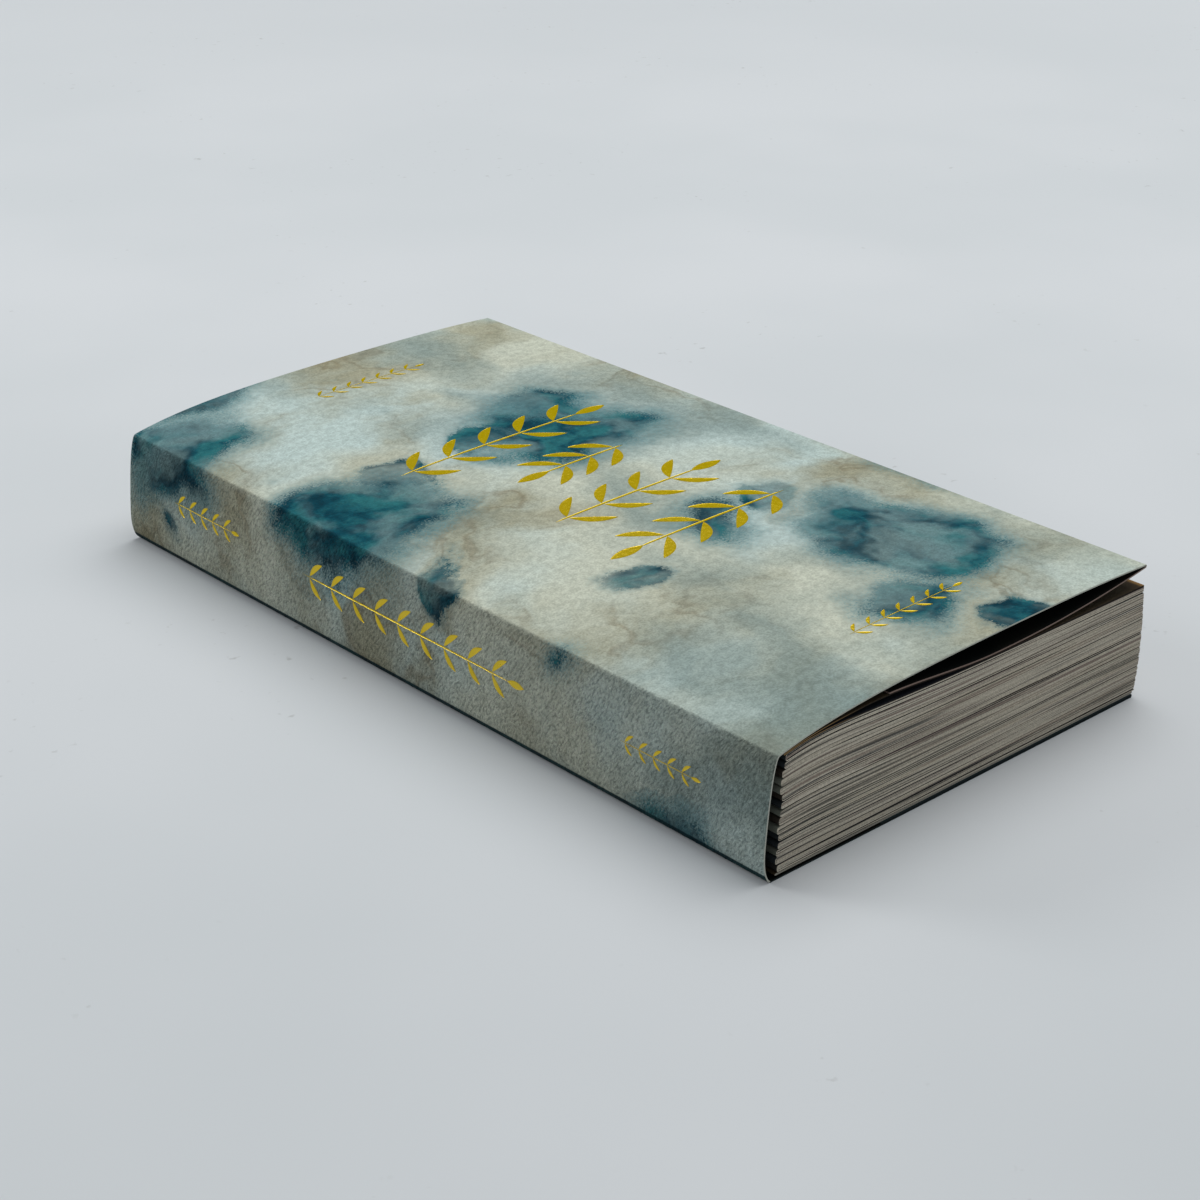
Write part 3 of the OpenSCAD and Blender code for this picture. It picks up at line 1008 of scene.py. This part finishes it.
def seen_ray(tree):
    """1 where the camera sees the stage itself or in gloss or glass, 0 where the stage lights things."""
    path = tree.nodes.new("ShaderNodeLightPath")
    value = path.outputs["Is Camera Ray"]
    for kind in ("Is Glossy Ray", "Is Transmission Ray"):
        larger = tree.nodes.new("ShaderNodeMath")
        larger.operation = "MAXIMUM"
        tree.links.new(value, larger.inputs[0])
        tree.links.new(path.outputs[kind], larger.inputs[1])
        value = larger.outputs["Value"]
    return value


def stage():
    """A floor a hair below the booklet, so that the back cover shows when it lies level with it."""
    place = (0, 0, -FLOOR_GAP * MM)
    cuts = {"x_subdivisions": 8, "y_subdivisions": 8}
    bpy.ops.mesh.primitive_grid_add(size=FLOOR_SIZE, location=place, **cuts)
    floor = bpy.context.object
    floor.name = "floor"
    floor.data.materials.append(floor_finish())


def area_lamp(name, place, size, power):
    """A round soft lamp that faces the booklet."""
    data = bpy.data.lights.new(name, "AREA")
    data.shape = "DISK"
    data.size = size
    data.energy = power
    data.color = LAMP_COLOR
    lamp = bpy.data.objects.new(name, data)
    lamp.location = place
    lamp.rotation_euler = (-Vector(place)).to_track_quat("-Z", "Y").to_euler()
    bpy.context.scene.collection.objects.link(lamp)


def lights():
    area_lamp("top_light", (0.5, 0.1, 1.25), size=1.5, power=14.0)
    area_lamp("side_light", (-0.6, 0.9, 0.5), size=0.5, power=4.0)
    world = bpy.data.worlds.new("world")
    bpy.context.scene.world = world
    world.use_nodes = True
    background = world.node_tree.nodes["Background"]
    background.inputs["Color"].default_value = WORLD_COLOR
    span = world.node_tree.nodes.new("ShaderNodeMapRange")
    span.inputs["To Min"].default_value = WORLD_LIGHT
    span.inputs["To Max"].default_value = WORLD_SEEN
    world.node_tree.links.new(seen_ray(world.node_tree), span.inputs["Value"])
    world.node_tree.links.new(span.outputs["Result"], background.inputs["Strength"])


def camera():
    data = bpy.data.cameras.new("camera")
    data.lens = CAMERA_LENS
    data.sensor_width = 36.0
    data.clip_start = 0.01
    data.clip_end = 20
    cam = bpy.data.objects.new("camera", data)
    cam.rotation_mode = "QUATERNION"
    cam.location = CAMERA_PLACE
    cam.rotation_quaternion = CAMERA_TURN
    bpy.context.scene.collection.objects.link(cam)
    bpy.context.scene.camera = cam


def dress_card():
    """The card in two pieces that part at the back hinge, and the foil on it."""
    card = [card_print(), card_inside(), card_edge()]
    path = front_card_path()
    crease_s = lengths(path)[np.argmin(np.abs(path - [CREASE_X, CREASE_Z]).sum(1))]
    front = card_piece("card_front", path, 1, -crease_s, card)
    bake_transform(front)
    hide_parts("front_cover", "spine")

    back = card_piece("card_back", back_card_path(), -1, -crease_s, card)
    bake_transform(back)
    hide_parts("back_cover")

    gold = foil_finish()
    on_front = foil("foil_front", front_strokes(), path, crease_s, gold)
    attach(on_front, "front_cover")
    on_spine = foil("foil_spine", spine_strokes(), path, crease_s, gold)
    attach(on_spine, "block")


def dress_paper(frame):
    pages = page_block([paper_face(), paper_edge()])
    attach(pages, "block")
    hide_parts("text_block")

    face, inside = endpaper_face_light_and_shade(), endpaper_inside_shade()
    # Front endpaper's edge: golden brown near the spine, and dark past the swell as painted shade under
    # the flap
    brown_and_shade = endpaper_edge("endpaper_edge", rgb(150, 122, 84), rgb(42, 36, 31))
    pale = endpaper_edge("endpaper_edge_back", rgb(168, 164, 152), rgb(160, 156, 146))
    leaves = (
        (front_endpaper([face, inside, brown_and_shade, brown_and_shade]), "front_endpaper"),
        (back_endpaper([face, inside, pale, pale]), "back_endpaper"),
    )
    for piece, node in leaves:
        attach(piece, "block")
        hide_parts(node)

    thread = frame["nodes"]["sewing_thread"]
    thread.data.materials.clear()
    thread.data.materials.append(thread_finish())


def main():
    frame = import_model()
    bpy.context.scene.view_settings.view_transform = "Standard"
    camera()
    stage()
    lights()
    dress_card()
    dress_paper(frame)


main()
